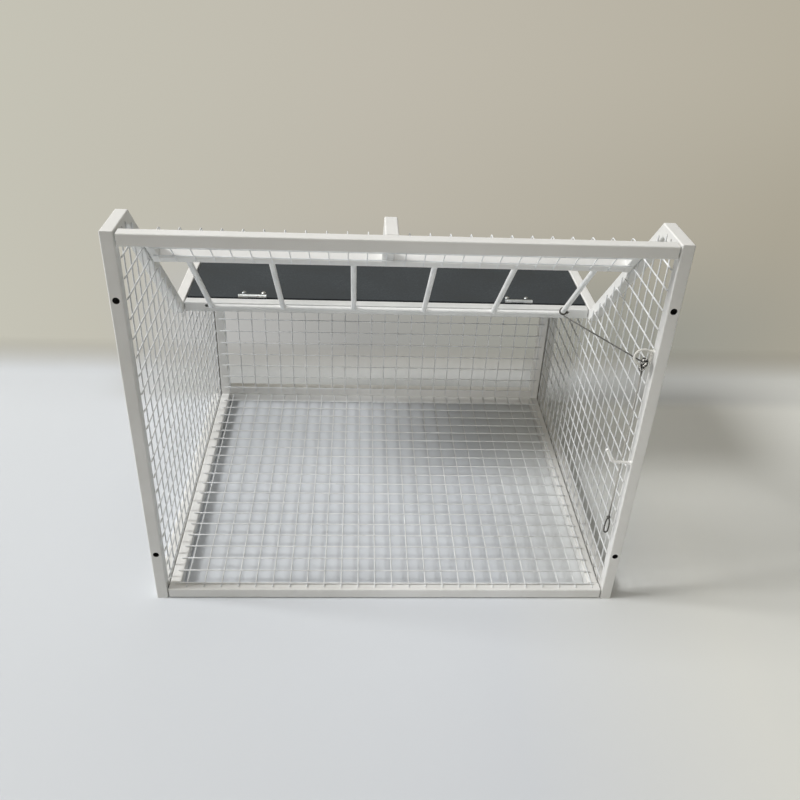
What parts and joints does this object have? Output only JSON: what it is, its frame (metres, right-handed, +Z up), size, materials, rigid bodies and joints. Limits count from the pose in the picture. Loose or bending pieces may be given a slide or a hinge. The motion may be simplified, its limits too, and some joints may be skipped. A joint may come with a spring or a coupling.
{
  "type": "pigeon entry cage",
  "caption": "Tube and wire-mesh pigeon entry cage with a sloping bar gate that swings inwards, a hinged landing board that folds up over it and a pull cord.",
  "frame": {"origin": "middle of the footprint, at the surface that the cage stands on", "axes": "+X to the right seen from the open front, +Y from the open front to the landing board, +Z up"},
  "size_m": [0.67, 0.552, 0.56],
  "materials": {
    "frame_tube": "satin",
    "mesh_wire": "satin",
    "gate_steel": "satin",
    "board": "matte",
    "zinc_steel": "zinc plated",
    "ring_steel": "satin",
    "cord": "braided"
  },
  "bodies": {
    "cage": {"back_bottom_rail": "frame_tube", "back_left_stile": "frame_tube", "back_net": "mesh_wire", "back_right_stile": "frame_tube", "back_top_rail": "frame_tube", "cord_drop": "cord", "cord_hook": "ring_steel", "cord_loop": "cord", "cord_ring_knot": "cord", "cord_run": "cord", "floor_back_rail": "frame_tube", "floor_front_net": "mesh_wire", "floor_front_rail": "frame_tube", "floor_left_rail": "frame_tube", "floor_rear_net": "mesh_wire", "floor_right_rail": "frame_tube", "guide_ring": "ring_steel", "hinge_left_fixed_leaf": "zinc_steel", "hinge_left_pin": "zinc_steel", "hinge_rail": "frame_tube", "hinge_right_fixed_leaf": "zinc_steel", "hinge_right_pin": "zinc_steel", "left_bottom_rail": "frame_tube", "left_front_net": "mesh_wire", "left_front_post": "frame_tube", "left_rear_net": "mesh_wire", "left_rear_post": "frame_tube", "left_shelf_rail": "frame_tube", "left_slope_rail": "frame_tube", "left_top_rail": "frame_tube", "panel_studs": "zinc_steel", "right_bottom_rail": "frame_tube", "right_front_net": "mesh_wire", "right_front_post": "frame_tube", "right_rear_net": "mesh_wire", "right_rear_post": "frame_tube", "right_shelf_rail": "frame_tube", "right_slope_rail": "frame_tube", "right_top_rail": "frame_tube", "roof_front_rail": "frame_tube", "roof_rib_slope": "frame_tube", "roof_rib_top": "frame_tube", "roof_slope_net": "mesh_wire", "roof_top_net": "mesh_wire", "slope_cross_rail": "frame_tube", "slope_left_stile": "frame_tube", "slope_right_stile": "frame_tube"},
    "landing_board": {"landing_board": "board", "hinge_left_moving_leaf": "zinc_steel", "hinge_right_moving_leaf": "zinc_steel", "hinge_screws": "zinc_steel"},
    "gate": {"gate_bar_1": "gate_steel", "gate_bar_2": "gate_steel", "gate_bar_3": "gate_steel", "gate_bar_4": "gate_steel", "gate_bar_5": "gate_steel", "gate_bar_6": "gate_steel", "gate_lower_rod": "gate_steel", "gate_pivot_rod": "gate_steel", "cord_tie": "cord"}
  },
  "joints": [
    {"name": "landing_board_hinge", "type": "hinge", "parent": "cage", "child": "landing_board", "pos_m": [0, 0.044, 0.334], "axis": [1, 0, 0], "range_deg": [0, 139]},
    {"name": "gate_swing", "type": "hinge", "parent": "cage", "child": "gate", "pos_m": [0, -0.11778, 0.46378], "axis": [-1, 0, 0], "range_deg": [0, 100], "deforming": ["cord_run"]}
  ]
}
